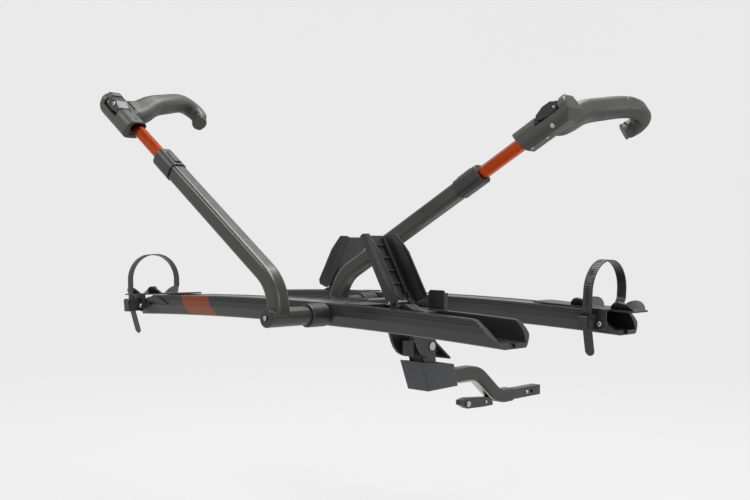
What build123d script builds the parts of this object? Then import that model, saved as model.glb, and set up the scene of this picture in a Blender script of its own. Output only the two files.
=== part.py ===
from build123d import *
from math import asin, atan2, cos, degrees, radians, sin, tan
import os

# Two-bike platform rack for a 1 1/4 inch hitch receiver.
# Frame, in millimetres: the origin is the hitch pin hole in the shank. X runs
# along the wheel trays, Y runs forwards to the vehicle and Z is up.

# ---- driving dimensions ----------------------------------------------------

SHANK = 31.75                 # square bar that enters the receiver
SHANK_FRONT = 53.0            # from the pin hole to the bar's free end
SHANK_REAR = -160.0
PIN_HOLE_R = 6.5

TONGUE = 42.0                 # square tube with the S bend
TONGUE_DROP = 88.0            # height of its upper run over the shank
TONGUE_BEND_R = 95.0
TONGUE_SLOPE = 38.0           # degrees
TONGUE_END = -108.0

TILT_Y, TILT_Z = -552.0, 190.0
TILT_PIN_R = 7.0
RUNNING_FIT = 0.05            # radial clearance round every turning pin

NEAR_Y, FAR_Y = -1011.0, -545.0        # centre planes of the two trays
TRAY_BOTTOM = 283.5                    # underside of the tray at its middle
TRAY_HALF = 662.0
TRAY_HEIGHT = 56.0
ARCH_R = 12800.0                       # the trays rise gently to the middle
FLOOR_HALF, FLANK_HALF, RIM_HALF = 40.0, 55.5, 50.5
FLANK_Z = 27.0                         # height of the widest line of the tray
CHANNEL_HALF = 37.5
CHANNEL_FLOOR = 11.0
DECK_Z = 54.5                          # closed top of the strap half
DECK_END = 255.0                       # past this X the channel is open
SKIN = 3.0

PIVOT_X, PIVOT_Z = 140.0, 310.0        # swing axis of a wheel arm, along Y
PIVOT_R = 22.0
PIVOT_OUT = 232.0                      # from the tray's middle to the cap
ARM_Y = 194.5                          # from the tray's middle to the arm
ARM = 42.0
ARM_BEND_R = 110.0
ARM_LINE = 59.0                        # the straight arm passes the pivot here
ARM_END = 598.0
NEAR_ARM_ANGLE, FAR_ARM_ANGLE = 34.5, 29.0
ARM_DESIGN_ANGLE = 34.5                # the foot is upright at this angle
COLLAR_FROM, COLLAR_TO, COLLAR = 533.0, 612.0, 50.0
INNER = 31.0                           # octagonal inner tube, across flats
INNER_FROM, INNER_TO = 300.0, 795.0

CRADLE_X, CRADLE_Z = 344.0, 348.0      # hinge of the front wheel cradle
CRADLE_ANGLE = 60.0                    # lean of its back over the tray
CRADLE_HALF = 48.0
CRADLE_BACK, CRADLE_SHEET = -6.0, 4.0
CRADLE_PIN_R = 4.0

NEAR_STRAP_X, FAR_STRAP_X = -655.0, 594.0
STRAP_WIDTH, STRAP_SHEET = 25.0, 3.0
STRAP_LOOP_HALF, STRAP_LOOP_TOP = 81.0, 176.0

SPINE_HALF, SPINE_BOTTOM, SPINE_TOP = 25.0, 283.3, 330.0
SPINE_FRONT, SPINE_REAR = -486.0, -1045.0


# ---- small helpers ---------------------------------------------------------

def block(x, y, z):
    """A box from its three (low, high) spans."""
    centre = Pos((x[0] + x[1]) / 2, (y[0] + y[1]) / 2, (z[0] + z[1]) / 2)
    return centre * Box(x[1] - x[0], y[1] - y[0], z[1] - z[0])


def rod_x(radius, x, y, z):
    """A cylinder along X between the two ends in x."""
    return Pos((x[0] + x[1]) / 2, y, z) * Rot(0, 90, 0) * Cylinder(radius, x[1] - x[0])


def rod_y(radius, x, y, z):
    """A cylinder along Y between the two ends in y."""
    return Pos(x, (y[0] + y[1]) / 2, z) * Rot(90, 0, 0) * Cylinder(radius, y[1] - y[0])


def plate_yz(points, x):
    """A plate with a polygon outline of (y, z) points, between the ends in x."""
    outline = Plane.YZ * Polygon(*points, align=None)
    return Pos(x[0], 0, 0) * extrude(outline, amount=x[1] - x[0], dir=(1, 0, 0))


def plate_xz(points, y):
    """A plate with a polygon outline of (x, z) points, between the ends in y."""
    outline = Plane.XZ * Polygon(*points, align=None)
    return Pos(0, y[0], 0) * extrude(outline, amount=y[1] - y[0], dir=(0, 1, 0))


def mirror_x(shape):
    return mirror(shape, about=Plane.YZ)


def arch_angle(x):
    """Slope of the tray at x, in degrees about +Y."""
    return degrees(asin(x / ARCH_R))


ARCH_AXIS = Axis((0, 0, TRAY_BOTTOM - ARCH_R), (0, 1, 0))


def on_arch(shape, x):
    """Moves a shape built at X = 0 to x along the arched tray."""
    return shape.rotate(ARCH_AXIS, arch_angle(x))


def arched(face, x0, x1):
    """Sweeps a YZ face, drawn at X = 0, along the arch from x0 to x1."""
    start = face.rotate(ARCH_AXIS, arch_angle(x0))
    return revolve(start, ARCH_AXIS, revolution_arc=arch_angle(x1) - arch_angle(x0))


def section(points):
    """A YZ face at X = 0 from (y, height over the tray's underside) points."""
    return Plane.YZ * Pos(0, TRAY_BOTTOM) * Polygon(*points, align=None)


def rect_section(y, z):
    return section([(y[0], z[0]), (y[1], z[0]), (y[1], z[1]), (y[0], z[1])])


# ---- hitch: shank, tongue, pivot head and housing --------------------------

def shank():
    bar = block((-SHANK / 2, SHANK / 2), (SHANK_REAR, SHANK_FRONT), (-SHANK / 2, SHANK / 2))
    bar = chamfer(bar.faces().sort_by(Axis.Y)[-1].edges(), 3)
    bar -= rod_x(PIN_HOLE_R, (-SHANK, SHANK), 0, 0)
    return bar - rod_x(SHANK_BOLT_R, (0, SHANK), SHANK_BOLT_Y, 0)


SHANK_BOLT_R, SHANK_BOLT_Y = 4.0, -28.0


def shank_bolt():
    """Anti-rattle bolt in the side of the shank, with a domed head."""
    stem = rod_x(SHANK_BOLT_R, (0, SHANK / 2), SHANK_BOLT_Y, 0)
    head = rod_x(6.0, (SHANK / 2, SHANK / 2 + 4), SHANK_BOLT_Y, 0)
    head = fillet(head.edges().group_by(Axis.X)[-1], 2.5)
    return stem + head


def tongue_path(start_y):
    run = TONGUE_DROP / tan(radians(TONGUE_SLOPE))
    bend_y = -232.0
    return FilletPolyline(
        (0, start_y, TONGUE_DROP),
        (0, bend_y - run / 2, TONGUE_DROP),
        (0, bend_y + run / 2, 0),
        (0, TONGUE_END, 0),
        radius=TONGUE_BEND_R,
    )


def tongue_sweep(size, corner):
    start = Plane((0, TONGUE_START, TONGUE_DROP), x_dir=(1, 0, 0), z_dir=(0, 1, 0))
    return sweep(start * RectangleRounded(size, size, corner), path=tongue_path(TONGUE_START))


TONGUE_START = -498.0


def tongue_tube():
    shell = tongue_sweep(TONGUE, 8) - tongue_sweep(SHANK, 0.5)
    bore = (-SHANK / 2, SHANK / 2)
    return shell - block(bore, (SHANK_REAR, TONGUE_END + 1), bore)


CHEEK = 6.0
CHEEK_IN = TONGUE / 2
PEDAL_Y, PEDAL_Z, PEDAL_PIN_R = -514.0, 190.0, 4.0


def pivot_head():
    """Two cheeks welded to the tongue, with bosses that space the tilt pin."""
    outline = [(-535, 68), (-440, 68), (-440, 108), (-500, 112), (-508, 150), (-505, 200), (-580, 200)]
    boss_out = BRACKET_IN - 0.5
    head = None
    for side in (-1, 1):
        x = sorted((side * CHEEK_IN, side * (CHEEK_IN + CHEEK)))
        cheek = plate_yz(outline, x) + rod_x(28, x, TILT_Y, TILT_Z)
        boss = rod_x(14, sorted((side * CHEEK_IN, side * boss_out)), TILT_Y, TILT_Z)
        head = cheek + boss if head is None else head + cheek + boss
    stop = block((-CHEEK_IN, CHEEK_IN), (-598, -570), (160, 204))
    head += stop - rod_x(TILT_PIN_R + 6, (-CHEEK_IN, CHEEK_IN), TILT_Y, TILT_Z)
    head -= rod_x(TILT_PIN_R, (-60, 60), TILT_Y, TILT_Z)
    return head - rod_x(PEDAL_PIN_R, (-60, 60), PEDAL_Y, PEDAL_Z)


BRACKET_IN, BRACKET_OUT = 43.0, 49.0


def tilt_pin():
    """Pin of the rack's tilt, with a low head at each end."""
    pin = rod_x(TILT_PIN_R, (-BRACKET_OUT - 2, BRACKET_OUT + 2), TILT_Y, TILT_Z)
    for side in (-1, 1):
        face = side * (BRACKET_OUT + 0.4)
        pin += rod_x(12, sorted((face, face + side * 3)), TILT_Y, TILT_Z)
    return pin


def pedal_pin():
    end = CHEEK_IN + CHEEK + 2
    return rod_x(PEDAL_PIN_R, (-end, end), PEDAL_Y, PEDAL_Z)


def pivot_housing():
    """Moulded cover round the foot of the head, open on top."""
    outside = [(-588, 146), (-552, 59), (-419, 62), (-439, 129)]
    inside = [(-590, 160), (-548.5, 62.7), (-423, 65.6), (-447, 150)]
    shell = plate_yz(outside, (-42, 42))
    upright = shell.edges().filter_by(Axis.X, reverse=True).filter_by(lambda e: e.length > 60)
    shell = fillet(upright, 4)
    shell -= plate_yz(inside, (-38.5, 38.5))
    tube = TONGUE / 2 + 0.2
    return shell - block((-tube, tube), (-470, -400), (TONGUE_DROP - tube, TONGUE_DROP + tube))


def pedal_place(along, over):
    """(y, z) of a point on the pedal: along it from its pin, and over it."""
    slope = radians(PEDAL_SLOPE)
    return (
        PEDAL_Y + along * cos(slope) + over * sin(slope),
        PEDAL_Z - along * sin(slope) + over * cos(slope),
    )


PEDAL_SLOPE = 43.0


def pedal_plate(x, along, over):
    corners = [(along[0], over[0]), (along[1], over[0]), (along[1], over[1]), (along[0], over[1])]
    return plate_yz([pedal_place(a, o) for a, o in corners], x)


def foot_pedal():
    """Pedal that frees the tilt: a tapered pad on a barrel, ridged on both faces."""
    half = CHEEK_IN - 0.5
    pedal = rod_x(9, (-half, half), PEDAL_Y, PEDAL_Z)
    pedal += pedal_plate((-12, 12), (4, 18), (0, PAD_OVER + 3))
    pedal += pad_plate(PAD_FROM, PAD_TO, (PAD_OVER, PAD_OVER + 6), 0)
    for i in range(6):
        start = PAD_FROM + 10 + 9 * i
        pedal += pad_plate(start, start + 3, (PAD_OVER - 2.5, PAD_OVER + 8.5), 6)
    return pedal - rod_x(PEDAL_PIN_R + RUNNING_FIT, (-60, 60), PEDAL_Y, PEDAL_Z)


PAD_FROM, PAD_TO, PAD_OVER = 12.0, 84.0, 14.0


def pad_plate(start, end, over, inset):
    """Part of the pad between two distances from the pin, inset at its sides."""
    slope = radians(PEDAL_SLOPE)
    origin = pedal_place(0, over[0])
    up = (0, sin(slope), cos(slope))
    plane = Plane((0, *origin), x_dir=(0, cos(slope), -sin(slope)), z_dir=up)
    wide = [15 + 13 * (a - PAD_FROM) / (PAD_TO - PAD_FROM) - inset for a in (start, end)]
    outline = Polygon((start, -wide[0]), (end, -wide[1]), (end, wide[1]), (start, wide[0]), align=None)
    return extrude(plane * outline, amount=over[1] - over[0], dir=up)


def lock_strap():
    """Bent strip that hangs the lock bar under the tongue's bend."""
    path = FilletPolyline(
        (0, -372, 64.0),
        (0, -296.5, 64.0),
        (0, -212, -2),
        radius=71,
    )
    start = Plane((0, -372, 64.0), x_dir=(1, 0, 0), z_dir=(0, 1, 0))
    return sweep(start * Rectangle(24, 5), path=path)


def lock_bar():
    outline = [(-365, 9), (-366, -5), (-350, -12), (-333, -20), (-258, -23)]
    outline += [(-205, -23), (-206, -12), (-222, 3), (-250, 6), (-335, 13)]
    bar = plate_yz(outline, (-10, 10)) - lock_strap()
    bar = bar.solids().sort_by(SortBy.VOLUME)[-1]
    bar -= rod_x(5, (-20, 20), LOCK_BOLT_Y, LOCK_BOLT_Z)
    return bar - rod_x(3, (-20, 20), LOCK_SCREW_Y, LOCK_SCREW_Z)


LOCK_BOLT_Y, LOCK_BOLT_Z = -334.0, -5.0
LOCK_SCREW_Y, LOCK_SCREW_Z = -242.0, -9.0


def lock_bolts():
    """Large clamp bolt and small pivot bolt of the lock bar."""
    bolts = rod_x(5, (-10, 10), LOCK_BOLT_Y, LOCK_BOLT_Z)
    bolts += rod_x(9, (10, 16), LOCK_BOLT_Y, LOCK_BOLT_Z)
    bolts += rod_x(8, (-16, -10), LOCK_BOLT_Y, LOCK_BOLT_Z)
    small = rod_x(3, (-10, 10), LOCK_SCREW_Y, LOCK_SCREW_Z) + rod_x(5, (10, 13), LOCK_SCREW_Y, LOCK_SCREW_Z)
    return Compound([bolts, small])


# ---- rack frame: spine and tilt bracket ------------------------------------

def spine():
    span = (SPINE_REAR, SPINE_FRONT)
    tube = block((-SPINE_HALF, SPINE_HALF), span, (SPINE_BOTTOM, SPINE_TOP))
    tube = fillet(tube.edges().filter_by(Axis.Y), 4)
    hollow = SPINE_HALF - SKIN
    inner = (SPINE_REAR + SKIN, SPINE_FRONT - SKIN)
    return tube - block((-hollow, hollow), inner, (SPINE_BOTTOM + SKIN, SPINE_TOP - SKIN))


def spine_cover():
    """Black step pad on the spine between the trays."""
    pad = block((-42, 42), (-948, -800), (SPINE_TOP, SPINE_TOP + 4))
    pad = fillet(pad.edges().filter_by(Axis.Z), 10)
    for i in range(7):
        y = -930 + 18 * i
        pad += block((-32, 32), (y, y + 5), (SPINE_TOP + 4, SPINE_TOP + 5.5))
    return pad


EAR = [
    (-640, SPINE_BOTTOM),
    (-562, SPINE_BOTTOM),
    (-546, 235),
    (-534, 205),
    (-532, 182),
    (-541, 165),
    (-556, 157),
    (-572, 157),
    (-590, 166),
    (-605, 181),
    (-617, 201),
    (-626, 224),
    (-634, 252),
]


def tilt_bracket():
    """Folded bracket under the far tray: a top plate and two curved ears."""
    bracket = block((-BRACKET_OUT, BRACKET_OUT), (-640, SPINE_FRONT), (SPINE_BOTTOM - 6, SPINE_BOTTOM))
    for side in (-1, 1):
        x = sorted((side * BRACKET_IN, side * BRACKET_OUT))
        bracket += plate_yz(EAR, x)
        edge = sorted((side * BRACKET_OUT, side * (BRACKET_OUT + 3)))
        bracket += plate_yz(EAR, edge) - plate_yz(EAR, edge).moved(Location((0, 12, 0)))
    return bracket - rod_x(TILT_PIN_R + RUNNING_FIT, (-60, 60), TILT_Y, TILT_Z)


# ---- wheel tray ------------------------------------------------------------

def flank_point(height, depth=0.0):
    """Point on the upper flank of the tray, depth in from its surface."""
    share = (height - FLANK_Z) / (DECK_Z - FLANK_Z)
    return (FLANK_HALF + (RIM_HALF - FLANK_HALF) * share - depth, height)


def half_outline():
    """Right half of the tray's outline, from the floor up to the rim."""
    points = [(FLOOR_HALF - 3, 0), (FLOOR_HALF + 1, 2.5), (FLANK_HALF, FLANK_Z)]
    for i in range(2):
        groove = FLANK_Z + 15 + 6 * i
        points += [flank_point(groove), flank_point(groove + 0.8, 1.3)]
        points += [flank_point(groove + 2.2, 1.3), flank_point(groove + 3)]
    points += [(RIM_HALF, DECK_Z - 0.5), (RIM_HALF - 2, TRAY_HEIGHT)]
    return points + [(CHANNEL_HALF + 3, TRAY_HEIGHT), (CHANNEL_HALF + 1.5, DECK_Z)]


def mirrored_outline(points):
    return points + [(-y, z) for y, z in reversed(points)]


def tray_outline():
    return section(mirrored_outline(half_outline()))


def tray_channel():
    return rect_section((-CHANNEL_HALF, CHANNEL_HALF), (CHANNEL_FLOOR, DECK_Z - SKIN))


def tray_profile():
    """Hollow extrusion: a channel, a chamber in each wall and one below."""
    wall = CHANNEL_HALF + SKIN
    side = [(wall, 9), (wall, DECK_Z - SKIN), (RIM_HALF - 4, DECK_Z - SKIN), (FLANK_HALF - 4, FLANK_Z)]
    profile = tray_outline() - tray_channel()
    profile -= section(side)
    profile -= section([(-y, z) for y, z in side])
    return profile - rect_section((-FLOOR_HALF + 4, FLOOR_HALF - 4), (SKIN, CHANNEL_FLOOR - SKIN))


def end_side(top, middle, bottom, shift, y):
    """All that lies past one wall's curved end cut, moved out by shift."""
    top, middle, bottom = [(x + shift, z) for x, z in (top, middle, bottom)]
    far = 760
    rest = Polyline(bottom, (bottom[0], 240), (far, 240), (far, 360), (top[0], 360), top)
    face = make_face(Plane.XZ * (ThreePointArc(top, middle, bottom) + rest))
    return Pos(0, y[0], 0) * extrude(face, amount=y[1] - y[0], dir=(0, 1, 0))


def end_cutter(shift):
    """The outer wall is cut at a slant and the inner one to a round lip."""
    outer = end_side((576, 332), (622, 299), (660, 262), shift, (-80, 0))
    return outer + end_side((604, 333), (640, 314), (656, 262), shift, (0, 80))


END_TRIM = 4.0


def tray_blank(face, x0, x1, shift):
    """A face swept along the arch, with both ends cut to the curve."""
    cutter = end_cutter(shift)
    return arched(face, x0, x1) - cutter - mirror_x(cutter)


def spine_cut(y):
    return block((-SPINE_HALF, SPINE_HALF), y, (TRAY_BOTTOM - 5, SPINE_TOP))


def near_tray_bare(spine_y):
    """Tray centred on Y = 0, with the arm on its -Y side at +X."""
    reach = TRAY_HALF + 20
    tray = tray_blank(tray_profile(), -reach, reach, 0)
    opening = rect_section((-CHANNEL_HALF, CHANNEL_HALF), (DECK_Z - SKIN - 1, TRAY_HEIGHT + 1))
    tray -= arched(opening, DECK_END, reach)
    tray -= spine_cut(spine_y)
    tray -= hub_block()
    tray -= rod_y(PIVOT_BUSH_R, PIVOT_X, (-80, -CHANNEL_HALF), PIVOT_Z)
    for y in (-9, 9):
        slot = rect_section((y - 4, y + 4), (CHANNEL_FLOOR - SKIN - 1, CHANNEL_FLOOR + 1))
        tray -= arched(slot, 520, 628)
    return tray


def tray_end_trims():
    """Moulded trims that close the extrusion's cut ends."""
    reach = TRAY_HALF + 40
    ring = tray_outline() - tray_channel()
    band = tray_blank(ring, -reach, reach, END_TRIM) & (end_cutter(0) + mirror_x(end_cutter(0)))
    opening = rect_section((-CHANNEL_HALF, CHANNEL_HALF), (DECK_Z - SKIN - 1, TRAY_HEIGHT + 1))
    band -= arched(opening, DECK_END, reach)
    return Compound(band.solids())


PIVOT_COLLAR_R, PIVOT_BUSH_R = 28.0, 25.0


def hub_block():
    """The hub's outside, which is also its pocket in the tray's floor."""
    x = (PIVOT_X - 32, PIVOT_X + 32)
    return block(x, (-CHANNEL_HALF, CHANNEL_HALF), (TRAY_BOTTOM + 2.7, TRAY_BOTTOM + 50.3))


def pivot_hub():
    """Block inside the tray in which the arm's pivot tube turns."""
    return hub_block() - rod_y(PIVOT_R + RUNNING_FIT, PIVOT_X, (-60, 60), PIVOT_Z)


def pivot_collar():
    """Collar through the tray's wall, round the pivot tube."""
    collar = rod_y(PIVOT_COLLAR_R, PIVOT_X, (-110, -FLANK_HALF), PIVOT_Z)
    collar = fillet(collar.edges().group_by(Axis.Y)[0], 3)
    collar += rod_y(PIVOT_BUSH_R, PIVOT_X, (-FLANK_HALF, -CHANNEL_HALF), PIVOT_Z)
    return collar - rod_y(PIVOT_R + RUNNING_FIT, PIVOT_X, (-111, 0), PIVOT_Z)


def channel_cover():
    """Black cap where the closed deck ends and the open channel starts."""
    top = rect_section((-CHANNEL_HALF, CHANNEL_HALF), (DECK_Z, DECK_Z + 3))
    lip = rect_section((-CHANNEL_HALF, CHANNEL_HALF), (CHANNEL_FLOOR + 14, DECK_Z + 3))
    return arched(top, DECK_END - 58, DECK_END + 4) + arched(lip, DECK_END, DECK_END + 4)


def cradle_base():
    """Block in the channel that carries the cradle's pin between two lugs."""
    half = CHANNEL_HALF - 0.5
    body = arched(rect_section((-half, half), (CHANNEL_FLOOR, DECK_Z - 8)), 326, 436)
    ramp = [(352, 320), (436, 320), (436, 331), (392, 334), (372, 344), (356, 344)]
    body += plate_xz(ramp, (-17, 17))
    for side in (-1, 1):
        y = sorted((side * 20, side * 28))
        lug = plate_xz([(330, 315), (360, 315), (352, CRADLE_Z), (336, CRADLE_Z)], y)
        body += lug + rod_y(8, CRADLE_X, y, CRADLE_Z)
    return body - rod_y(CRADLE_PIN_R, CRADLE_X, (-60, 60), CRADLE_Z)


def cradle_pin():
    return rod_y(CRADLE_PIN_R, CRADLE_X, (-41, 41), CRADLE_Z)


def cradle_latch():
    """Upright stop plate on the tray's inner flank beside the cradle."""
    y = (FLANK_HALF, FLANK_HALF + 4)
    plate = block((378, 424), y, (290, 376))
    plate = fillet(plate.edges().filter_by(Axis.Y).group_by(Axis.Z)[-1], 6)
    for x in (388, 414):
        plate += rod_y(4.5, x, (y[1], y[1] + 3), 303)
    return plate + block((419, 424), (FLANK_HALF + 4, FLANK_HALF + 14), (322, 370))


# ---- front wheel cradle ----------------------------------------------------

def cradle_point(up, front):
    """(x, z) of a point on the cradle: up its back and in front of its pin."""
    lean = radians(CRADLE_ANGLE)
    return (
        CRADLE_X - up * cos(lean) + front * sin(lean),
        CRADLE_Z + up * sin(lean) + front * cos(lean),
    )


def cradle_plate(points, y):
    return plate_xz([cradle_point(u, f) for u, f in points], y)


def cradle_slab(up, front, y):
    return cradle_plate([(up[0], front[0]), (up[1], front[0]), (up[1], front[1]), (up[0], front[1])], y)


def cradle_shell():
    """The scoop's bent sheet: a flat back and two sides that flare out."""
    half = CRADLE_HALF
    outer = [(half - 5, CRADLE_BACK), (half - 2, 14), (half + 3, 30), (half + 4, 38)]
    inner = [(half - 0.5, 38), (half - 1, 30), (half - 6, 14), (half - 8.5, CRADLE_BACK + CRADLE_SHEET)]
    side = outer + inner
    along = (-cos(radians(CRADLE_ANGLE)), 0, sin(radians(CRADLE_ANGLE)))
    foot = cradle_point(-20, 0)
    plane = Plane((foot[0], 0, foot[1]), x_dir=(0, -1, 0), z_dir=along)
    profile = Polygon(*side, *[(-y, f) for y, f in reversed(side)], align=None)
    return extrude(plane * profile, amount=210, dir=along)


def cradle_outline():
    """Side view of the scoop, with its soft corners."""
    points = [(9, -8), (-7, 6), (-9, 28), (2, 37), (112, 37), (166, 26), (177, 6), (177, -8)]
    face = Plane.XZ * Polygon(*[cradle_point(u, f) for u, f in points], align=None)
    face = fillet(face.vertices(), 5)
    return Pos(0, -70, 0) * extrude(face, amount=140, dir=(0, 1, 0))


def wheel_cradle():
    """Leaning scoop that holds the front wheel, ribbed inside."""
    face = CRADLE_BACK + CRADLE_SHEET
    scoop = cradle_shell() & cradle_outline()
    scoop -= cradle_slab((-20, 11), (-9, face + 0.1), (-60, 60))
    for side in (-1, 1):
        rail = sorted((side * 19, side * 23))
        scoop += cradle_slab((20, 168), (face - 1, face + 9), rail)
        lug = sorted((side * 28.4, side * 36))
        scoop += cradle_slab((-2, 24), (face - 4, face + 6), lug)
        scoop += rod_y(7, CRADLE_X, lug, CRADLE_Z)
    for i in range(4):
        start = 46 + 34 * i
        scoop += cradle_slab((start, start + 3.5), (face - 1, face + 5), (19 - CRADLE_HALF, CRADLE_HALF - 19))
    scoop -= rod_y(CRADLE_PIN_R + RUNNING_FIT, CRADLE_X, (-60, 60), CRADLE_Z)
    return scoop.solids().sort_by(SortBy.VOLUME)[-1]


# ---- wheel arm: pivot tube, outer tube, inner tube, head and hook ----------
# An arm is built with its pivot at the origin. It reaches along -X, Y is the
# hinge axis and Z is up from the arm, and it is turned to its rest angle last.

def rod_local(radius, y, along=0.0, over=0.0):
    return rod_y(radius, -along, y, over)


def pivot_tube():
    start, end = -(PIVOT_OUT - ARM_Y) + 4, ARM_Y + 30
    tube = rod_local(PIVOT_R, (start, end))
    return tube - rod_local(PIVOT_R - 4, (start - 1, end + 1))


def pivot_cap():
    """End cap of the pivot tube with its screw head."""
    face = -(PIVOT_OUT - ARM_Y)
    cap = rod_local(PIVOT_R, (face, face + 4))
    cap = fillet(cap.edges().group_by(Axis.Y)[0], 1.5)
    cap += rod_local(PIVOT_R - 4, (face + 4, face + 14))
    return cap + rod_local(6, (face - 2.5, face))


def arm_path(start, end):
    lean = radians(ARM_DESIGN_ANGLE)
    corner = ARM_LINE * tan(lean)
    return FilletPolyline((-start * sin(lean), 0, start * cos(lean)), (-corner, 0, ARM_LINE),
                          (-end, 0, ARM_LINE), radius=ARM_BEND_R)


def arm_sweep(size, corner):
    lean = radians(ARM_DESIGN_ANGLE)
    start = Plane((0, 0, 0), x_dir=(0, 1, 0), z_dir=(-sin(lean), 0, cos(lean)))
    return sweep(start * RectangleRounded(size, size, corner), path=arm_path(0, ARM_END))


def arm_tube():
    tube = arm_sweep(ARM, 10) - arm_sweep(ARM - 2 * SKIN, 7)
    return tube - rod_local(PIVOT_R, (-ARM, ARM))


def along_arm(shape_2d, start, end):
    """Extrudes a 2D shape, drawn with x along the hinge, down the arm."""
    plane = Plane((-start, 0, ARM_LINE), x_dir=(0, 1, 0), z_dir=(-1, 0, 0))
    return extrude(plane * shape_2d, amount=end - start, dir=(-1, 0, 0))


def octagon(across_flats):
    return Rot(0, 0, 22.5) * RegularPolygon(across_flats / 2, 8, major_radius=False)


def arm_collar():
    """Clamp collar on the outer tube's end that guides the inner tube."""
    collar = along_arm(RectangleRounded(COLLAR, COLLAR, 17), COLLAR_FROM, COLLAR_TO)
    collar = fillet(collar.edges().group_by(Axis.X)[0], 3)
    tab = Pos(0, 2 - COLLAR / 2) * RectangleRounded(20, 12, 4)
    collar += along_arm(tab, COLLAR_FROM + 10, COLLAR_TO - 22)
    collar -= along_arm(RectangleRounded(ARM, ARM, 10), COLLAR_FROM - 1, ARM_END)
    return collar - along_arm(octagon(INNER + 0.6), ARM_END - 1, COLLAR_TO + 1)


def inner_tube():
    tube = along_arm(octagon(INNER), INNER_FROM, INNER_TO)
    return tube - along_arm(octagon(INNER - 5), INNER_FROM - 1, INNER_TO + 1)


HEAD_BACK, HEAD_FRONT = -38.0, 22.0
HEAD_FROM, HEAD_TO, HEAD_OVER = 738.0, 912.0, 55.0
HEAD_HEIGHT = 58.0


def hook_head():
    """Moulded sleeve on the inner tube, which carries the hook and lever."""
    middle, width = (HEAD_BACK + HEAD_FRONT) / 2, HEAD_FRONT - HEAD_BACK
    low, top = HEAD_OVER - HEAD_HEIGHT / 2, HEAD_OVER + HEAD_HEIGHT / 2
    centre = Pos(middle, ARM_LINE - HEAD_OVER)
    head = along_arm(centre * RectangleRounded(width, HEAD_HEIGHT, 20), HEAD_FROM, HEAD_TO)
    mouth = 10 - HEAD_FROM
    slope = [(mouth - 36, low - 3), (mouth, low - 3), (mouth, top + 6), (mouth - 18, top + 6)]
    head -= plate_xz(slope, (-50, 40))
    head -= plate_xz([(-HEAD_TO - 5, low - 3), (-HEAD_TO + 22, low - 3), (-HEAD_TO - 5, low + 28)], (-50, 40))
    head = fillet(head.edges().filter_by(lambda e: abs(e.center().X + HEAD_TO) < 12), 6)
    bump = block((-910, -889), (HEAD_BACK + 16, HEAD_FRONT - 8), (66, top + 5))
    head += fillet(bump.edges().filter_by(lambda e: e.center().Z > top), 6)
    head += block((-900, -806), (HEAD_FRONT - 20, HEAD_FRONT), (low + 8, top - 4))
    head -= along_arm(octagon(INNER), 700, INNER_TO)
    head -= along_arm(Pos(-2, 1) * RectangleRounded(42, 42, 14), 700, HEAD_FROM + 26)
    head -= block((-890, -816), (HEAD_BACK - 5, LEVER_Y[1] + 1), (58, top + 20))
    return head - rod_local(LEVER_PIN_R, (LEVER_Y[1], LEVER_Y[1] + 8), LEVER_ALONG, LEVER_OVER)


LEVER_ALONG, LEVER_OVER, LEVER_PIN_R = 878.0, 72.0, 3.0
LEVER_Y = (-33.0, 2.0)


def lever_pin():
    return rod_local(LEVER_PIN_R, (LEVER_Y[0] - 1.5, LEVER_Y[1] + 8), LEVER_ALONG, LEVER_OVER)


def release_lever():
    """Squeeze lever in the top of the head that frees the inner tube."""
    outline = [(-888, 70), (-887, 83), (-875, 90), (-850, 91), (-826, 83), (-818, 72)]
    outline += [(-824, 66), (-856, 60), (-880, 62)]
    lever = plate_xz(outline, LEVER_Y)
    lever = fillet(lever.edges().filter_by(Axis.Y).group_by(Axis.Z)[-1], 5)
    lever = chamfer(lever.faces().sort_by(Axis.Y)[0].edges(), 2)
    return lever - rod_local(LEVER_PIN_R + RUNNING_FIT, (-40, 40), LEVER_ALONG, LEVER_OVER)


HOOK_SECTIONS = (
    (0.0, 50, 76),
    (0.2, 53, 62),
    (0.42, 54, 50),
    (0.66, 51, 44),
    (0.84, 46, 38),
    (1.0, 42, 32),
)


def wheel_hook():
    """Hook that reaches over the tyre and curls back along the arm at its tip."""
    path = Spline(
        (-850, HEAD_FRONT, 58),
        (-868, 90, 74),
        (-893, 162, 80),
        (-922, 222, 74),
        (-934, 262, 62),
        (-920, 290, 51),
        (-892, 293, 45),
        (-868, 276, 43),
        tangents=[(0, 1, 0), (1, -0.75, -0.05)],
    )
    sections = []
    for share, height, depth in HOOK_SECTIONS:
        plane = Plane(path @ share, x_dir=(0, 0, 1), z_dir=path % share)
        sections.append(plane * RectangleRounded(height, depth, min(height, depth) * 0.4))
    return sweep(sections, path=path, multisection=True)


# ---- wheel strap on its sliding saddle -------------------------------------
# Built at X = 0 over a tray centred on Y = 0, with the tray's end towards -X.

def over_tray(height):
    return TRAY_BOTTOM + height


def saddle_fin(x0, x1, side):
    """One of the petal-shaped fins that centre the tyre, leaning outwards."""
    middle = (x0 + x1) / 2
    crest = ThreePointArc((x0, 0), (middle - (x1 - x0) * 0.12, FIN_RISE), (x1, 0))
    outline = make_face(crest + Line((x1, 0), (x0, 0)))
    foot = (0, side * 24, over_tray(SADDLE_TOP - 0.5))
    lean = Plane(foot, x_dir=(1, 0, 0), z_dir=(0, -0.75, 0.66 * side))
    return extrude(lean * outline, amount=4, dir=(0, 0.75 * side, -0.66)) & saddle_space()


def saddle_space():
    return block((-200, 300), (-90, 90), (over_tray(SADDLE_TOP - 0.5), over_tray(SADDLE_TOP + 60)))


SADDLE_LOW, SADDLE_TOP = TRAY_HEIGHT + 0.4, TRAY_HEIGHT + 4.4
FIN_RISE = 27.0
DISC_X, DISC_Z = 26.0, 25.0
SKIRT_IN, SKIRT_OUT = FLANK_HALF + 1.0, FLANK_HALF + 5.0


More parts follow.
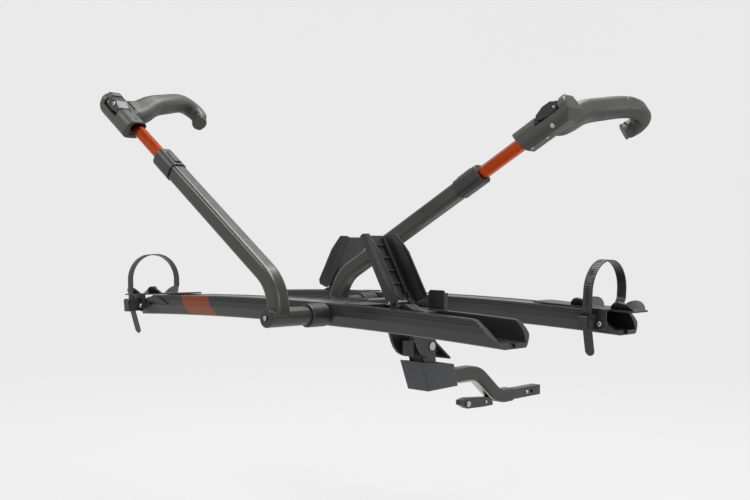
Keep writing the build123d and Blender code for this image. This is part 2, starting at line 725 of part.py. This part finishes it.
def strap_saddle(bracket_side):
    """Slider with four fins, and skirts that carry the buckle and strap."""
    plate_z = (over_tray(SADDLE_LOW), over_tray(SADDLE_TOP))
    saddle = block((-98, 185), (-44, 44), plate_z)
    saddle = fillet(saddle.edges().filter_by(Axis.Z), 12)
    for side in (-1, 1):
        saddle += saddle_fin(-94, -34, side) + saddle_fin(18, 78, side)
    bracket = sorted((bracket_side * -16, bracket_side * 40))
    saddle += block(bracket, (-SKIRT_OUT, -40), plate_z)
    saddle += block((-16, 16), (-SKIRT_OUT, -SKIRT_IN), (over_tray(10), plate_z[1]))
    saddle += block(bracket, (-SKIRT_OUT, -SKIRT_IN), (over_tray(26), plate_z[1]))
    saddle += rod_y(17, bracket_side * DISC_X, (-SKIRT_OUT - 2, -SKIRT_IN), over_tray(DISC_Z))
    saddle += block((-14, 14), (40, SKIRT_OUT), plate_z)
    saddle += block((-14, 14), (SKIRT_IN, SKIRT_OUT), (over_tray(22), plate_z[1]))
    saddle += rod_y(7, bracket_side * DISC_X, (-SKIRT_OUT - 6, -SKIRT_OUT), over_tray(DISC_Z))
    return saddle - block((-16.2, 16.2), (-100, -SKIRT_OUT), (over_tray(5), over_tray(50)))


def wheel_strap():
    """Ladder strap: tail, buckle run, loop over the rim, far anchor."""
    half, top = STRAP_LOOP_HALF, over_tray(STRAP_LOOP_TOP)
    anchor = SKIRT_OUT + STRAP_SHEET / 2
    path = FilletPolyline(
        (0, -56, over_tray(-56)),
        (0, -76, over_tray(14)),
        (0, -half, over_tray(66)),
        (0, -half, top),
        (0, half, top),
        (0, half, over_tray(80)),
        (0, anchor, over_tray(50)),
        (0, anchor, over_tray(24)),
        radius=[60, 60, 76, 76, 14, 14],
    )
    start = Plane((0, -56, over_tray(-56)), x_dir=(1, 0, 0), z_dir=(0, -20, 70))
    return sweep(start * Rectangle(STRAP_WIDTH, STRAP_SHEET), path=path)


BUCKLE_Y, BUCKLE_Z, BUCKLE_PIN_R = -90.0, 40.0, 2.5


def strap_buckle():
    """Buckle body on the skirt: a back plate and two cheeks."""
    back = block((-16, 16), (-SKIRT_OUT - 5, -SKIRT_OUT), (over_tray(10), over_tray(46)))
    buckle = back
    for side in (-1, 1):
        x = sorted((side * 13, side * 16))
        buckle += block(x, (-94, -SKIRT_OUT), (over_tray(10), over_tray(46)))
    return buckle - rod_x(BUCKLE_PIN_R + RUNNING_FIT, (-20, 20), BUCKLE_Y, over_tray(BUCKLE_Z))


def buckle_lever():
    """Ratchet lever on trunnions between the buckle's cheeks."""
    lever = plate_yz([(-95, over_tray(8)), (-86, over_tray(12)), (-87, over_tray(44)), (-98, over_tray(42))],
                     (-12.6, 12.6))
    lever = fillet(lever.edges().filter_by(Axis.X), 1.5)
    return lever + rod_x(BUCKLE_PIN_R, (-16.5, 16.5), BUCKLE_Y, over_tray(BUCKLE_Z))


# ---- assembly --------------------------------------------------------------

def place_arm(shape, angle, tray_y, is_far):
    """Turns an arm piece to its rest angle and puts it on its pivot."""
    placed = Pos(PIVOT_X, tray_y - ARM_Y, PIVOT_Z) * Rot(0, angle, 0) * shape
    return mirror_x(placed) if is_far else placed


def tray_parts(name, tray_y, is_far, spine_y):
    """Every piece that is fixed to one tray."""
    def place(shape):
        moved = Pos(0, tray_y, 0) * shape
        return mirror_x(moved) if is_far else moved

    return {
        f"{name}_tray": place(near_tray_bare(spine_y)),
        f"{name}_tray_end_trims": place(tray_end_trims()),
        f"{name}_pivot_hub": place(pivot_hub()),
        f"{name}_pivot_collar": place(pivot_collar()),
        f"{name}_channel_cover": place(channel_cover()),
        f"{name}_cradle_base": place(cradle_base()),
        f"{name}_cradle_pin": place(cradle_pin()),
        f"{name}_cradle_latch": place(cradle_latch()),
        f"{name}_wheel_cradle": place(wheel_cradle()),
    }


def arm_parts(name, angle, tray_y, is_far):
    pieces = {
        "pivot_tube": pivot_tube(),
        "pivot_cap": pivot_cap(),
        "arm_tube": arm_tube(),
        "arm_collar": arm_collar(),
        "inner_tube": inner_tube(),
        "hook_head": hook_head(),
        "lever_pin": lever_pin(),
        "release_lever": release_lever(),
        "wheel_hook": wheel_hook(),
    }
    return {f"{name}_{key}": place_arm(s, angle, tray_y, is_far) for key, s in pieces.items()}


def strap_parts(name, tray_y, x, is_far):
    """The saddle's plate is mirrored on the far tray, but its buckle is not."""
    saddle = strap_saddle(-1 if is_far else 1)
    pieces = {
        "strap_saddle": mirror_x(saddle) if is_far else saddle,
        "wheel_strap": wheel_strap(),
        "strap_buckle": strap_buckle(),
        "buckle_lever": buckle_lever(),
    }
    return {f"{name}_{key}": Pos(0, tray_y, 0) * on_arch(s, x) for key, s in pieces.items()}


def hitch_parts():
    return {
        "shank": shank(),
        "shank_bolt": shank_bolt(),
        "tongue_tube": tongue_tube(),
        "pivot_head": pivot_head(),
        "pivot_housing": pivot_housing(),
        "tilt_pin": tilt_pin(),
        "pedal_pin": pedal_pin(),
        "foot_pedal": foot_pedal(),
        "lock_strap": lock_strap(),
        "lock_bar": lock_bar(),
        "lock_bolts": lock_bolts(),
        "spine": spine(),
        "spine_cover": spine_cover(),
        "tilt_bracket": tilt_bracket(),
    }


def assembly():
    parts = hitch_parts()
    parts |= tray_parts("near", NEAR_Y, False, (SPINE_REAR - NEAR_Y, 80))
    parts |= tray_parts("far", FAR_Y, True, (-80, 80))
    parts |= arm_parts("near", NEAR_ARM_ANGLE, NEAR_Y, False)
    parts |= arm_parts("far", FAR_ARM_ANGLE, FAR_Y, True)
    parts |= strap_parts("near", NEAR_Y, NEAR_STRAP_X, False)
    parts |= strap_parts("far", FAR_Y, FAR_STRAP_X, True)
    return parts


os.makedirs("parts", exist_ok=True)
for node, shape in assembly().items():
    export_step(shape, f"parts/{node}.step")
    print(node, round(shape.volume / 1000, 1), "cm3")
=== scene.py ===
import math

import bpy
from mathutils import Matrix, Vector


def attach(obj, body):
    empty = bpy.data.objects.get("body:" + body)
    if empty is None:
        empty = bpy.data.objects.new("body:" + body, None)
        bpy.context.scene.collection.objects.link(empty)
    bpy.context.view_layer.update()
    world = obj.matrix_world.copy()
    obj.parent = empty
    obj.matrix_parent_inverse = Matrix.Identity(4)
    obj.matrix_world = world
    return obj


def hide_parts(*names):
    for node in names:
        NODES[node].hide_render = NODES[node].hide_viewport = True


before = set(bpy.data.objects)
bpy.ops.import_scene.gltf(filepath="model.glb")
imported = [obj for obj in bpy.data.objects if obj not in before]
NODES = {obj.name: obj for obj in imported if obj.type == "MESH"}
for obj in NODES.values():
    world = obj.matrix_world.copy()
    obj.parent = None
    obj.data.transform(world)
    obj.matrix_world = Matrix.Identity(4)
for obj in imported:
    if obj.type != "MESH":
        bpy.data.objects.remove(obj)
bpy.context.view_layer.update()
MM = 0.001

# The rack's own measures, in millimetres, as in the part's source: the trays'
# underside, half width and arch; the arms' pivot in X and Z, and how far the
# arm's middle lies from its tray's; and the thickness of a saddle's skirt.
TRAY_BOTTOM = 283.5
TRAY_HALF_WIDTH = 55.5
ARCH_R = 12800.0
PIVOT_X, PIVOT_Z = 140.0, 310.0
ARM_Y = 194.5
SADDLE_SKIRT = 5.0
# Each side's tray in Y, its arm's angle in degrees, which way round it is in X,
# and where its strap is in X.
SIDES = {
    "near": {"tray_y": -1011.0, "angle": 34.5, "hand": 1, "strap_x": -655.0},
    "far": {"tray_y": -545.0, "angle": 29.0, "hand": -1, "strap_x": 594.0},
}


# ---- materials -------------------------------------------------------------

class Graph:
    """A material's node tree, with short calls to add and join its nodes."""

    def __init__(self, name):
        self.material = bpy.data.materials.new(name)
        self.material.use_nodes = True
        self.tree = self.material.node_tree
        self.shader = self.tree.nodes["Principled BSDF"]
        self.coords = self.add("ShaderNodeTexCoord").outputs["Object"]

    def add(self, kind, **settings):
        node = self.tree.nodes.new(kind)
        for key, value in settings.items():
            setattr(node, key, value)
        return node

    def join(self, source, target):
        self.tree.links.new(source, target)

    def noise(self, scale, detail=2.0, stretch=None):
        texture = self.add("ShaderNodeTexNoise")
        texture.inputs["Scale"].default_value = scale
        texture.inputs["Detail"].default_value = detail
        place = self.coords
        if stretch:
            mapping = self.add("ShaderNodeMapping")
            mapping.inputs["Scale"].default_value = stretch
            self.join(self.coords, mapping.inputs["Vector"])
            place = mapping.outputs["Vector"]
        self.join(place, texture.inputs["Vector"])
        return texture.outputs["Fac"]

    def spread(self, value, low, high, start=0.3, end=0.7):
        """Maps a 0 to 1 value, from start to end, onto low to high."""
        node = self.add("ShaderNodeMapRange")
        for key, number in zip(("From Min", "From Max", "To Min", "To Max"), (start, end, low, high)):
            node.inputs[key].default_value = number
        self.join(value, node.inputs["Value"])
        return node.outputs["Result"]

    def mix(self, factor, first, second):
        node = self.add("ShaderNodeMix", data_type="RGBA")
        self.join(factor, node.inputs["Factor"])
        for socket, colour in ((node.inputs[6], first), (node.inputs[7], second)):
            if isinstance(colour, tuple):
                socket.default_value = (*colour, 1.0)
            else:
                self.join(colour, socket)
        return node.outputs[2]

    def maths(self, operation, first, second=0.0):
        node = self.add("ShaderNodeMath", operation=operation)
        for socket, value in zip(node.inputs, (first, second)):
            if isinstance(value, (int, float)):
                socket.default_value = value
            else:
                self.join(value, socket)
        return node.outputs[0]

    def bump(self, height, strength, distance, corner=0.0):
        node = self.add("ShaderNodeBump")
        node.inputs["Strength"].default_value = strength
        node.inputs["Distance"].default_value = distance
        self.join(height, node.inputs["Height"])
        if corner:
            edge = self.add("ShaderNodeBevel", samples=4)
            edge.inputs["Radius"].default_value = corner
            self.join(edge.outputs["Normal"], node.inputs["Normal"])
        self.join(node.outputs["Normal"], self.shader.inputs["Normal"])

    def set(self, **values):
        """Fixed values of the shader's sockets, with _ for a space in a name."""
        for key, value in values.items():
            self.shader.inputs[key.replace("_", " ")].default_value = value


RELIEF_DEPTH = 0.1 * MM
# Scales of the noises that every paint and plastic has, per metre.
DRIFT_SCALE, DUST_SCALE, GLOSS_SCALE = 9.0, 260.0, 35.0


def scaled(colour, factor):
    return tuple(channel * factor for channel in colour)


def surface(name, colour, roughness, metallic, coat, grain, relief, corner):
    """Paint or plastic: slow colour drift, patchy gloss, a fine grain, soft corners."""
    graph = Graph(name)
    drift = graph.noise(DRIFT_SCALE, 4.0)
    base = graph.mix(graph.spread(drift, 0.0, 1.0), scaled(colour, 0.88), scaled(colour, 1.12))
    dust = graph.spread(graph.noise(DUST_SCALE, 3.0), 0.0, 0.22, 0.55, 0.75)
    base = graph.mix(dust, base, scaled(colour, 1.6))
    graph.join(base, graph.shader.inputs["Base Color"])
    gloss = graph.spread(graph.noise(GLOSS_SCALE, 5.0), roughness * 0.86, roughness * 1.14)
    graph.join(gloss, graph.shader.inputs["Roughness"])
    graph.set(Metallic=metallic, Coat_Weight=coat, Specular_IOR_Level=0.5)
    graph.bump(graph.noise(grain, 2.0), relief, RELIEF_DEPTH, corner * MM)
    return graph


def zinc(name):
    """Plated steel with faint brushed streaks."""
    colour, roughness = (0.50, 0.50, 0.49), 0.3
    graph = Graph(name)
    streak = graph.noise(60.0, 3.0, (1.0, 1.0, 12.0))
    base = graph.mix(graph.spread(streak, 0.0, 1.0), scaled(colour, 0.8), colour)
    graph.join(base, graph.shader.inputs["Base Color"])
    graph.join(graph.spread(streak, roughness * 0.8, roughness * 1.3), graph.shader.inputs["Roughness"])
    graph.set(Metallic=1.0)
    graph.bump(streak, 0.15, RELIEF_DEPTH, 0.5 * MM)
    return graph


# The copper band on the near tray's outer flank, in metres: its ends along X at
# one height, how far it leans per metre of height, and how deep it reaches in
# from the tray's side.
STRIPE_FROM, STRIPE_TO = -0.447, -0.321
STRIPE_LEVEL, STRIPE_LEAN = 0.33, 0.62
STRIPE_INSET = 0.015
STRIPE_COLOUR = (0.180, 0.034, 0.004)


def tray_paint(name, stripe):
    """Satin anodised aluminium; the near tray has a slanted copper band."""
    graph = surface(name, (0.026, 0.026, 0.026), 0.32, 0.35, 0.0, 2200.0, 0.04, 0.0)
    if not stripe:
        return graph
    split = graph.add("ShaderNodeSeparateXYZ")
    graph.join(graph.coords, split.inputs[0])
    x, y, z = split.outputs
    lean = graph.maths("MULTIPLY", graph.maths("SUBTRACT", z, STRIPE_LEVEL), STRIPE_LEAN)
    along = graph.maths("ADD", x, lean)
    start = graph.maths("GREATER_THAN", along, STRIPE_FROM)
    end = graph.maths("LESS_THAN", along, STRIPE_TO)
    flank_y = (SIDES["near"]["tray_y"] - TRAY_HALF_WIDTH) * MM + STRIPE_INSET
    flank = graph.maths("LESS_THAN", y, flank_y)
    mask = graph.maths("MULTIPLY", graph.maths("MULTIPLY", start, end), flank)
    plain = graph.shader.inputs["Base Color"].links[0].from_socket
    graph.join(graph.mix(mask, plain, STRIPE_COLOUR), graph.shader.inputs["Base Color"])
    return graph


# Key, material name, colour, roughness, metallic, coat, grain, relief, and the
# corners' radius in mm.
FINISHES = (
    ("arm", "arm_paint", (0.036, 0.036, 0.033), 0.34, 0.35, 0.12, 1400.0, 0.048, 0.8),
    ("steel", "steel_paint", (0.030, 0.030, 0.029), 0.38, 0.25, 0.0, 1400.0, 0.12, 0.8),
    ("black", "black_plastic", (0.013, 0.013, 0.013), 0.42, 0.0, 0.0, 900.0, 0.40, 1.0),
    ("gloss", "gloss_plastic", (0.010, 0.010, 0.011), 0.24, 0.0, 0.0, 500.0, 0.12, 1.2),
    ("cradle", "cradle_plastic", (0.014, 0.014, 0.015), 0.34, 0.0, 0.0, 900.0, 0.40, 1.5),
    ("housing", "housing_plastic", (0.026, 0.027, 0.030), 0.40, 0.0, 0.0, 900.0, 0.32, 1.5),
    ("rubber", "hook_rubber", (0.036, 0.036, 0.033), 0.50, 0.0, 0.0, 700.0, 0.28, 0.0),
    ("head", "head_plastic", (0.034, 0.034, 0.031), 0.44, 0.0, 0.0, 800.0, 0.24, 1.5),
    ("strap", "strap_rubber", (0.013, 0.013, 0.013), 0.36, 0.0, 0.0, 800.0, 0.40, 0.0),
    ("orange", "orange_paint", (0.42, 0.050, 0.006), 0.27, 1.0, 0.08, 1400.0, 0.012, 0.4),
)
MATERIALS = {
    key: surface(name, *finish).material
    for key, name, *finish in FINISHES
}
MATERIALS["zinc"] = zinc("zinc_steel").material
MATERIALS["near_tray"] = tray_paint("near_tray_paint", True).material
MATERIALS["far_tray"] = tray_paint("far_tray_paint", False).material

# Endings of the nodes' names and their material; the first match counts, and
# what is left is black plastic.
NODE_FINISHES = (
    (("near_tray",), "near_tray"),
    (("far_tray",), "far_tray"),
    (("tongue_tube", "shank", "pivot_head", "lock_bar", "tilt_bracket", "spine", "cradle_latch"), "steel"),
    (("shank_bolt", "tilt_pin", "pedal_pin", "lock_strap", "lock_bolts", "cradle_pin", "lever_pin"), "zinc"),
    (("arm_tube", "pivot_tube"), "arm"),
    (("inner_tube",), "orange"),
    (("wheel_hook",), "rubber"),
    (("hook_head",), "head"),
    (("near_release_lever", "wheel_cradle"), "cradle"),
    (("release_lever", "buckle_lever", "pivot_cap"), "gloss"),
    (("pivot_housing",), "housing"),
)


def node_material(name):
    for endings, key in NODE_FINISHES:
        if name.endswith(endings):
            return MATERIALS[key]
    return MATERIALS["black"]


for node_name, node in NODES.items():
    node.data.materials.clear()
    node.data.materials.append(node_material(node_name))


# ---- places on the rack ----------------------------------------------------

def on_arch(point, x):
    """A point built at X = 0, in millimetres, moved to x along the arched tray, in metres."""
    turn = math.asin(x / ARCH_R)
    height = point[2] - TRAY_BOTTOM + ARCH_R
    across = point[0] * math.cos(turn) + height * math.sin(turn)
    up = -point[0] * math.sin(turn) + height * math.cos(turn)
    return Vector((across, point[1], TRAY_BOTTOM - ARCH_R + up)) * MM


def on_arm(side, along, over, up):
    """A point beside an arm, in metres: mm along it, across it towards +Y, and over it."""
    data = SIDES[side]
    turn = math.radians(data["angle"])
    x = PIVOT_X - along * math.cos(turn) + up * math.sin(turn)
    z = PIVOT_Z + along * math.sin(turn) + up * math.cos(turn)
    return Vector((data["hand"] * x, data["tray_y"] - ARM_Y + over, z)) * MM


def arm_direction(side, along, over, up):
    """A direction given in the same way, in world axes."""
    return on_arm(side, along, over, up) - on_arm(side, 0, 0, 0)


def at_strap(side, along, across, over):
    """A point beside a strap, in metres: mm along its tray, across it, over its underside."""
    data = SIDES[side]
    point = on_arch((along, across, TRAY_BOTTOM + over), data["strap_x"])
    point.y += data["tray_y"] * MM
    return point


# ---- mesh pieces -----------------------------------------------------------

def piece(name, verts, faces, body, material, smooth):
    """One mesh that rides a body; edges sharper than smooth degrees stay sharp."""
    mesh = bpy.data.meshes.new(name)
    mesh.from_pydata([tuple(v) for v in verts], [], faces)
    mesh.validate()
    obj = bpy.data.objects.new(name, mesh)
    bpy.context.scene.collection.objects.link(obj)
    mesh.materials.append(MATERIALS[material])
    mesh.shade_smooth()
    bpy.context.view_layer.objects.active = obj
    mesh.set_sharp_from_angle(angle=math.radians(smooth))
    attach(obj, body)
    return obj


def rings_piece(name, rings, body, material, smooth=35.0):
    """Skins rings of equal length, in order, and caps both ends."""
    count = len(rings[0])
    verts = [point for ring in rings for point in ring]
    faces = []
    for i in range(len(rings) - 1):
        low, high = i * count, (i + 1) * count
        for j in range(count):
            k = (j + 1) % count
            faces.append((low + j, low + k, high + k, high + j))
    faces.append(tuple(reversed(range(count))))
    faces.append(tuple(range((len(rings) - 1) * count, len(rings) * count)))
    return piece(name, verts, faces, body, material, smooth)


def frame_for(axis):
    """Two directions square to an axis, and the axis, right handed."""
    axis = Vector(axis).normalized()
    side = axis.cross(Vector((0, 0, 1)))
    if side.length < 0.1:
        side = axis.cross(Vector((1, 0, 0)))
    side.normalize()
    return side, axis.cross(side), axis


def socket_screw(name, centre, axis, radius, height, body, material="zinc", slot="zinc_steel"):
    """A domed screw head with a hexagon socket; radius and height in mm."""
    side, up, out = frame_for(axis)
    count = 24
    # Shares of the radius and of the height: the dome, then the socket's wall.
    profile = [(1.0, -0.4), (1.0, 0.5), (0.93, 0.82), (0.75, 1.0)]
    socket = [(0.48, 1.0), (0.48, 0.35), (0.05, 0.28)]
    rings = []
    for share, lift in profile + socket:
        ring = []
        for i in range(count):
            turn = 2 * math.pi * i / count
            reach = radius * share
            if (share, lift) in socket[:2]:
                part = (turn + math.pi / 6) % (math.pi / 3) - math.pi / 6
                reach = radius * share * math.cos(math.pi / 6) / math.cos(part)
            offset = (side * math.cos(turn) + up * math.sin(turn)) * reach + out * (height * lift)
            ring.append(centre + offset * MM)
        rings.append(ring)
    return rings_piece(name, rings, body, material)


def rounded_path(points, radii, step=3.0):
    """Points every few millimetres along a polyline with rounded corners."""
    points = [Vector(p) for p in points]
    out = [points[0]]
    for i in range(1, len(points) - 1):
        before = (points[i - 1] - points[i]).normalized()
        after = (points[i + 1] - points[i]).normalized()
        half = before.angle(after) / 2
        radius = radii[i - 1]
        reach = radius / math.tan(half)
        centre = points[i] + (before + after).normalized() * (radius / math.sin(half))
        start = points[i] + before * reach - centre
        end = points[i] + after * reach - centre
        sweep = start.angle(end)
        parts = max(2, round(sweep * radius / step))
        for j in range(parts + 1):
            share = j / parts
            arc = (start * math.sin((1 - share) * sweep) + end * math.sin(share * sweep)) / math.sin(sweep)
            out.append(centre + arc)
    out.append(points[-1])
    even = [out[0]]
    for target in out[1:]:
        gap = (target - even[-1]).length
        parts = max(1, round(gap / step))
        origin = even[-1]
        for j in range(1, parts + 1):
            even.append(origin.lerp(target, j / parts))
    return even


# ---- wheel straps ----------------------------------------------------------

STRAP_HALF = 12.5
STRAP_SHEET = 3.0
LOOP_HALF = 81.0
LOOP_TOP = 176.0
LOOP_RADIUS = 76.0
STRAP_STEP = 1.2


def strap_line():
    """The strap's middle line, from its tail to its far anchor, over the tray's underside."""
    anchor = TRAY_HALF_WIDTH + SADDLE_SKIRT + STRAP_SHEET / 2
    corners = [
        (0, -56, -56),
        (0, -76, 14),
        (0, -LOOP_HALF, 66),
        (0, -LOOP_HALF, LOOP_TOP),
        (0, LOOP_HALF, LOOP_TOP),
        (0, LOOP_HALF, 80),
        (0, anchor, 50),
        (0, anchor, 24),
    ]
    return rounded_path(corners, [60, 60, LOOP_RADIUS, LOOP_RADIUS, 14, 14], STRAP_STEP)


# Along the strap from its tail, in mm: where the rungs are, and the dimple.
RUNG_FROM, RUNG_TO, RUNG_PITCH = 108.0, 262.0, 6.4
RUNG_SHARE, RUNG_HEIGHT = 0.55, 1.1
DIMPLE_AT, DIMPLE_LONG, DIMPLE_WIDE, DIMPLE_DEEP = 22.0, 13.0, 6.0, 1.4


def strap_row(run):
    """Half width of the strap, and how far its face stands out, at one point."""
    width = STRAP_HALF
    if run < STRAP_HALF:
        width = max(1.5, math.sqrt(STRAP_HALF ** 2 - (STRAP_HALF - run) ** 2))
    rung = 0.0
    if RUNG_FROM < run < RUNG_TO and (run - RUNG_FROM) % RUNG_PITCH < RUNG_SHARE * RUNG_PITCH:
        rung = RUNG_HEIGHT
    return width, rung


def wheel_strap(side):
    """Ladder strap: rungs where the buckle grips, and a thumb dimple at the tail."""
    line = strap_line()
    rings = []
    run = 0.0
    for i, point in enumerate(line):
        ahead = line[min(i + 1, len(line) - 1)] - line[max(i - 1, 0)]
        out = Vector((0, -ahead.z, ahead.y)).normalized()
        if i:
            run += (point - line[i - 1]).length
        width, rung = strap_row(run)
        dish = max(0.0, 1.0 - ((run - DIMPLE_AT) / DIMPLE_LONG) ** 2)
        face = STRAP_SHEET / 2
        middle = face + rung - DIMPLE_DEEP * math.sqrt(dish)
        inner = max(0.2, width - 4.0)
        dip = DIMPLE_WIDE * math.sqrt(dish) if dish else inner * 0.5
        dip = min(dip, inner * 0.8)
        # Across the strap, and out from its middle line.
        rows = [
            (-width, -1.2), (-width, 1.0), (-width + 0.6, 1.6), (-inner, face + rung), (-dip, face + rung),
            (0, middle), (dip, face + rung), (inner, face + rung), (width - 0.6, 1.6), (width, 1.0),
            (width, -1.2), (width - 0.5, -face), (-width + 0.5, -face),
        ]
        rings.append([at_strap(side, a, *(point + out * b).yz) for a, b in rows])
    strap = rings_piece(f"{side}_strap_band", rings, f"{side}_saddle", "strap", 30.0)
    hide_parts(f"{side}_wheel_strap")


for side_name in SIDES:
    wheel_strap(side_name)


# ---- screws ----------------------------------------------------------------

# Small screws on a hook's head: place along, across and over the arm, the way
# they face, and the finish. The upper ones are black.
HEAD_SCREWS = (
    ("top_screw_a", (806, -5, 84), (0, 0, 1), "gloss", "black_plastic"),
    ("top_screw_b", (768, -7, 84), (0, 0, 1), "gloss", "black_plastic"),
    ("under_screw_a", (821, -16, 26), (0, 0, -1), "zinc", "zinc_steel"),
    ("under_screw_b", (775, -18, 26), (0, 0, -1), "zinc", "zinc_steel"),
)
# The one large domed screw on each head: body, place and the way it faces.
HEAD_BOLT = {
    "near": ("near_lever", (850, -33, 81), (0, -1, 0)),
    "far": ("far_arm_end", (855, -34.6, 35.2), (0, -0.84, -0.55)),
}
# Radius and height of each size of screw.
SMALL_SCREW, BOLT, CAP_SCREW, DISC_SCREW = (3.8, 1.3), (5.6, 2.6), (5.2, 1.2), (6.5, 2.4)
# How far the end cap's face lies from the arm's middle, and the centre of the
# saddle's disc: along the tray, across it, and over its underside.
CAP_FACE = -40.4
DISC_PLACE = (26, -66.4, 25)


def add_screws(side):
    end = f"{side}_arm_end"
    for name, place, facing, finish, slot in HEAD_SCREWS:
        centre, axis = on_arm(side, *place), arm_direction(side, *facing)
        socket_screw(f"{side}_{name}", centre, axis, *SMALL_SCREW, end, finish, slot)
    body, place, facing = HEAD_BOLT[side]
    centre, axis = on_arm(side, *place), arm_direction(side, *facing)
    socket_screw(f"{side}_head_bolt", centre, axis, *BOLT, body)
    centre = on_arm(side, 0, CAP_FACE, 0)
    socket_screw(f"{side}_cap_screw", centre, (0, -1, 0), *CAP_SCREW, f"{side}_arm")
    centre = at_strap(side, *DISC_PLACE)
    socket_screw(f"{side}_disc_screw", centre, (0, -1, 0), *DISC_SCREW, f"{side}_saddle")


for side_name in SIDES:
    add_screws(side_name)


# ---- release on the near saddle --------------------------------------------

# Outline of the leaf shaped release, in mm from the strap along the tray and
# over the tray's underside, anticlockwise from its root.
RELEASE_OUTLINE = (
    (44, 15), (52, 16), (56, 24), (62, 33), (74, 37), (94, 36), (118, 32), (142, 29),
    (158, 28), (146, 34), (124, 43), (100, 50), (74, 52), (52, 49), (41, 46), (40, 20),
)
# Its layers outwards: place across the tray, and how wide the leaf is there.
RELEASE_FACE = ((-56.2, 1.0), (-59.0, 1.0), (-60.4, 0.93), (-61.2, 0.75))
RELEASE_END_SHARE = 0.25


def saddle_release():
    """Thin leaf of black plastic with a rounded face beside the near buckle."""
    middle = sum(x for x, z in RELEASE_OUTLINE) / len(RELEASE_OUTLINE)
    spine = sum(z for x, z in RELEASE_OUTLINE) / len(RELEASE_OUTLINE)
    rings = []
    for depth, share in RELEASE_FACE:
        ring = []
        for x, z in RELEASE_OUTLINE:
            near_x = x + (middle - x) * (1 - share) * RELEASE_END_SHARE
            near_z = spine + (z - spine) * share
            ring.append(at_strap("near", near_x, depth, near_z))
        rings.append(ring)
    rings_piece("near_saddle_release", rings, "near_saddle", "gloss", 40.0)


saddle_release()


# ---- floor, light and camera, in metres ------------------------------------

PAPER_GLOW = 0.76
PAPER_PLACE = (0, -0.75, -0.30)
FLOOR_RADIUS, SWEEP_RADIUS, WALL_TOP = 5.0, 2.0, 6.0
SWEEP_STEPS = 10


def studio():
    """Round sweep of pale paper: a floor that curves up into a wall all round."""
    profile = [(2.0, 0.0), (FLOOR_RADIUS, 0.0)]
    for i in range(1, SWEEP_STEPS + 1):
        turn = math.radians(90 * i / SWEEP_STEPS)
        reach = FLOOR_RADIUS + SWEEP_RADIUS * math.sin(turn)
        profile.append((reach, SWEEP_RADIUS - SWEEP_RADIUS * math.cos(turn)))
    profile.append((FLOOR_RADIUS + SWEEP_RADIUS, WALL_TOP))
    count = 48
    verts = []
    for radius, height in profile:
        for i in range(count):
            turn = 2 * math.pi * i / count
            verts.append((radius * math.cos(turn), radius * math.sin(turn), height))
    faces = [tuple(range(count))]
    for i in range(len(profile) - 1):
        for j in range(count):
            k = (j + 1) % count
            faces.append((i * count + j, (i + 1) * count + j, (i + 1) * count + k, i * count + k))
    mesh = bpy.data.meshes.new("studio")
    mesh.from_pydata(verts, [], faces)
    mesh.shade_smooth()
    obj = bpy.data.objects.new("studio", mesh)
    obj.location = PAPER_PLACE
    bpy.context.scene.collection.objects.link(obj)
    graph = Graph("studio_paper")
    tone = graph.mix(graph.spread(graph.noise(0.6), 0.0, 1.0), (0.078, 0.078, 0.078), (0.082, 0.082, 0.082))
    graph.join(tone, graph.shader.inputs["Base Color"])
    graph.set(Roughness=0.95, Specular_IOR_Level=0.0)
    graph.set(Emission_Color=(1.0, 1.0, 1.0, 1.0), Emission_Strength=PAPER_GLOW)
    mesh.materials.append(graph.material)


LIGHT_TARGET = (0, -0.8, 0.3)


def area_light(name, place, size, power):
    """A soft rectangular light that faces the middle of the rack."""
    data = bpy.data.lights.new(name, "AREA")
    data.shape = "RECTANGLE"
    data.size, data.size_y = size
    data.energy = power
    obj = bpy.data.objects.new(name, data)
    obj.location = place
    toward = Vector(LIGHT_TARGET) - Vector(place)
    obj.rotation_euler = toward.to_track_quat("-Z", "Y").to_euler()
    bpy.context.scene.collection.objects.link(obj)


CAMERA_PLACE = (1.8019, -2.6357, 0.4812)
CAMERA_TURN, CAMERA_DIP, CAMERA_ROLL = 43.53, 0.38, -0.48
LENS = 45.73


def camera():
    """Level view of the rack from its rear corner."""
    turn, dip, roll = (math.radians(angle) for angle in (CAMERA_TURN, CAMERA_DIP, CAMERA_ROLL))
    right = Vector((math.cos(turn), math.sin(turn), 0))
    ahead = Vector((-math.sin(turn) * math.cos(dip), math.cos(turn) * math.cos(dip), -math.sin(dip)))
    up = right.cross(ahead)
    right, up = (
        right * math.cos(roll) - up * math.sin(roll),
        right * math.sin(roll) + up * math.cos(roll),
    )
    data = bpy.data.cameras.new("camera")
    data.lens = LENS
    data.sensor_width = 36.0
    data.clip_end = 50.0
    obj = bpy.data.objects.new("camera", data)
    matrix = Matrix((right, up, -ahead)).transposed().to_4x4()
    matrix.translation = Vector(CAMERA_PLACE)
    obj.matrix_world = matrix
    bpy.context.scene.collection.objects.link(obj)
    bpy.context.scene.camera = obj


studio()
area_light("key", (-1.4, -3.4, 3.0), (1.6, 1.2), 45)
area_light("top", (0.3, -0.5, 2.8), (2.6, 1.6), 110)
area_light("side", (3.4, -0.2, 1.6), (0.9, 1.8), 30)
camera()

world = bpy.data.worlds.new("studio_world")
bpy.context.scene.world = world
world.use_nodes = True
world.node_tree.nodes["Background"].inputs["Color"].default_value = (1.0, 1.0, 1.0, 1.0)
world.node_tree.nodes["Background"].inputs["Strength"].default_value = 0.35
bpy.context.scene.view_settings.view_transform = "Standard"
